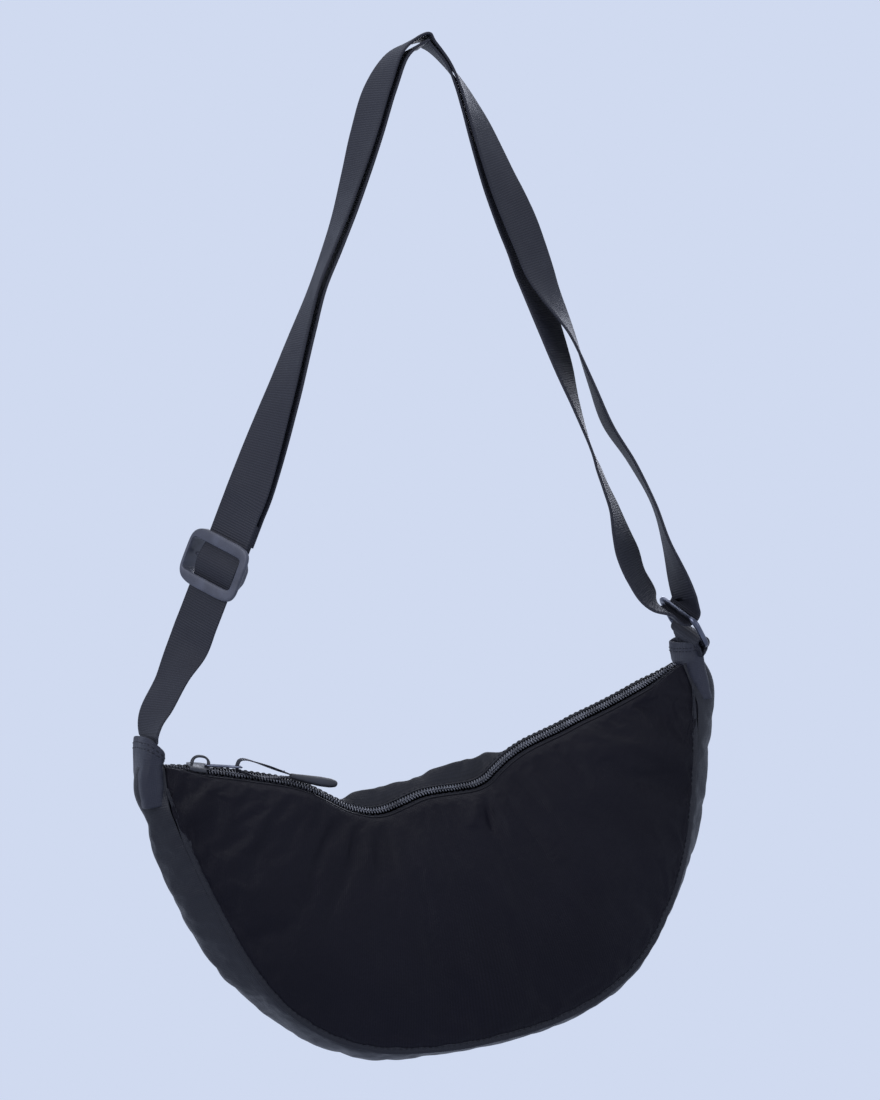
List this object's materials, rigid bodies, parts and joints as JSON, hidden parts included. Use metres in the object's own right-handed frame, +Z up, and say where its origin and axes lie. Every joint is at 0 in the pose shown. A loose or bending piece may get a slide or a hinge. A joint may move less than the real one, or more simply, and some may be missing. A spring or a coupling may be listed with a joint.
{
  "type": "crescent shoulder bag",
  "caption": "Puffy crescent shoulder bag with a zipped mouth, hung by an adjustable flat webbing strap that runs through a ring.",
  "frame": {"origin": "where the strap's top rests on what it hangs from, under the inner strand at the crown of the strap", "axes": "+Z up as the bag hangs, +X along the bag towards the end with the ring, +Y towards the back panel"},
  "size_m": [0.3022, 0.0676, 0.5204],
  "materials": {
    "shell_nylon": "soft matt nylon, lightly crinkled",
    "side_nylon": "soft matt nylon",
    "wadding": "loose polyester fill",
    "lining": "smooth plain weave",
    "webbing": "ribbed flat webbing with a soft sheen",
    "zip_tape": "close woven tape",
    "zip_coil": "moulded nylon coil",
    "grey_metal": "dark grey plated, satin",
    "adjuster_plastic": "satin moulded plastic",
    "pull_ribbon": "ribbed grosgrain",
    "pull_grip": "satin moulded plastic"
  },
  "bodies": {
    "strap": {"strap_webbing": "webbing", "ring_webbing_loop": "webbing"},
    "bag": {"front_panel": "shell_nylon", "back_panel": "shell_nylon", "gusset": "side_nylon", "front_wadding": "wadding", "back_wadding": "wadding", "front_lining": "lining", "back_lining": "lining", "gusset_lining": "lining", "inner_pocket": "lining", "front_seam_welt": "side_nylon", "back_seam_welt": "side_nylon", "zip_tape_front": "zip_tape", "zip_tape_back": "zip_tape", "zip_coil_front": "zip_coil", "zip_coil_back": "zip_coil", "left_strap_tab": "side_nylon", "right_strap_tab": "side_nylon"},
    "zip_slider": {"zip_slider": "grey_metal"},
    "zip_pull": {"pull_wire": "grey_metal"},
    "zip_grip": {"pull_ribbon": "pull_ribbon", "pull_grip": "pull_grip"},
    "adjuster": {"strap_adjuster": "adjuster_plastic", "strap_end_fold": "webbing"},
    "ring": {"ring": "grey_metal"}
  },
  "joints": [
    {"name": "bag_swing", "type": "hinge", "parent": "strap", "child": "bag", "pos_m": [0.00307, 0, -0.341], "axis": [0.9848, 0, 0.1736], "range_deg": [-40, 40]},
    {"name": "zip_slide", "type": "hinge", "parent": "bag", "child": "zip_slider", "pos_m": [-0.03255, 0, -0.18511], "axis": [0, -1, 0], "range_deg": [0, 45]},
    {"name": "zip_pull_flip", "type": "hinge", "parent": "zip_slider", "child": "zip_pull", "pos_m": [-0.11093, 0, -0.36438], "axis": [0, -1, 0], "range_deg": [0, 75]},
    {"name": "pull_grip_swing", "type": "hinge", "parent": "zip_pull", "child": "zip_grip", "pos_m": [-0.09297, 0, -0.36568], "axis": [0, -1, 0], "range_deg": [0, 90]},
    {"name": "adjuster_slide", "type": "slide", "parent": "strap", "child": "adjuster", "axis": [0.3124, -0.235, 0.9204], "range_m": [-0.028, 0.006]},
    {"name": "ring_pivot", "type": "hinge", "parent": "strap", "child": "ring", "pos_m": [0.14334, -0.00706, -0.3009], "axis": [-0.0734, 0.9063, 0.4162], "range_deg": [-4, 4]}
  ]
}
